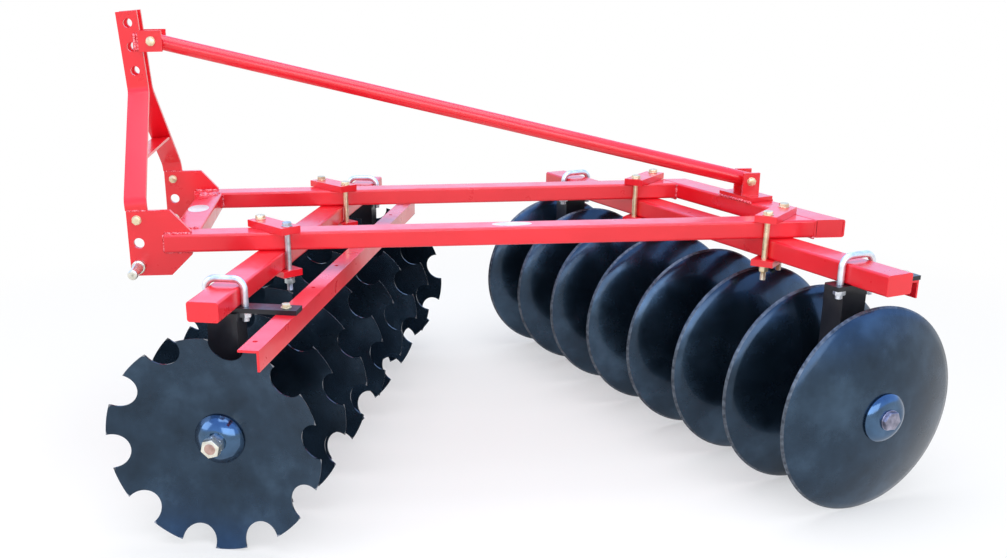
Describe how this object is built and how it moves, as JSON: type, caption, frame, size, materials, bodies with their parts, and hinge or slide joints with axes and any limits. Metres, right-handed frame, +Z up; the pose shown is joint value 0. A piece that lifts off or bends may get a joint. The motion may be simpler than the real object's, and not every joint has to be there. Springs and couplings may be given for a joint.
{
  "type": "mounted offset disc harrow",
  "caption": "Tractor-mounted offset disc harrow: tube frame with three-point hitch and mast, notched front disc gang and plain rear disc gang, each free to roll.",
  "frame": {"origin": "on the ground, at the middle of the machine's overall length and width", "axes": "+X to the machine's left, +Y to its rear, away from the tractor, +Z up"},
  "size_m": [2.0623, 2.24, 1.2849],
  "materials": {
    "red_paint": "gloss red paint",
    "black_paint": "semi-gloss black paint",
    "blue_steel": "gloss blue-black lacquer on steel",
    "zinc": "zinc plated steel"
  },
  "bodies": {
    "frame": {"left_side_beam": "red_paint", "right_side_beam": "red_paint", "front_cross_beam": "red_paint", "rear_cross_beam": "red_paint", "left_hitch_plate": "red_paint", "right_hitch_plate": "red_paint", "link_pins": "zinc", "left_mast_leg": "red_paint", "right_mast_leg": "red_paint", "mast_strap": "red_paint", "stay": "red_paint", "stay_bracket": "red_paint", "hitch_bolts": "zinc", "front_gang_beam": "red_paint", "rear_gang_beam": "red_paint", "front_left_hanger": "black_paint", "front_right_hanger": "black_paint", "rear_left_hanger": "black_paint", "rear_right_hanger": "black_paint", "front_u_bolts": "zinc", "rear_u_bolts": "zinc", "front_scraper_bar": "red_paint", "rear_scraper_bar": "red_paint", "clamp_top_plates": "red_paint", "clamp_bottom_plates": "red_paint", "clamp_bolts": "zinc"},
    "front_gang": {"front_disc_1": "blue_steel", "front_disc_2": "blue_steel", "front_disc_3": "blue_steel", "front_disc_4": "blue_steel", "front_disc_5": "blue_steel", "front_disc_6": "blue_steel", "front_disc_7": "blue_steel", "front_disc_8": "blue_steel", "front_axle": "zinc", "front_spools": "black_paint", "front_end_washers": "black_paint"},
    "rear_gang": {"rear_disc_1": "blue_steel", "rear_disc_2": "blue_steel", "rear_disc_3": "blue_steel", "rear_disc_4": "blue_steel", "rear_disc_5": "blue_steel", "rear_disc_6": "blue_steel", "rear_disc_7": "blue_steel", "rear_disc_8": "blue_steel", "rear_axle": "zinc", "rear_spools": "black_paint", "rear_end_washers": "black_paint"}
  },
  "joints": [
    {"name": "front_gang_spin", "type": "hinge", "parent": "frame", "child": "front_gang", "pos_m": [0, -0.629, 0.28], "axis": [0.9703, -0.2419, 0], "continuous": true},
    {"name": "rear_gang_spin", "type": "hinge", "parent": "frame", "child": "rear_gang", "pos_m": [0, 0.593, 0.28], "axis": [0.9336, 0.3584, 0], "continuous": true}
  ]
}
